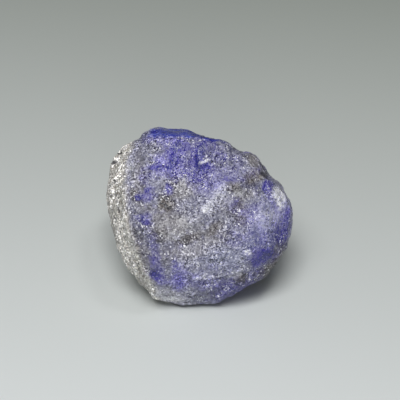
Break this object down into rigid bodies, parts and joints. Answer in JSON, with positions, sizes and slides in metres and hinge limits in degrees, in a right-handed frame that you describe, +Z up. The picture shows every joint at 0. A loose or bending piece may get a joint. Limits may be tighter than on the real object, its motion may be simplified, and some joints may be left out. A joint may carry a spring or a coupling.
{
  "type": "rough tanzanite",
  "caption": "Rough tanzanite: a rounded, blocky lump of violet-blue zoisite with a clear blue top edge and a pale grey matrix side, resting on a small flat spot.",
  "frame": {"origin": "middle of the stone's bounding box, on the surface that the stone rests on", "axes": "+Z up from the flat spot that it rests on, +X to the right and -Y towards someone who looks at its broad front, which leans back and up by 36 degrees"},
  "size_m": [0.028, 0.0232, 0.0235],
  "materials": {
    "tanzanite": "rough sugary violet-blue crystal with a glassy top edge and pale grey matrix"
  },
  "bodies": {
    "root": {"tanzanite": "tanzanite"}
  },
  "joints": []
}
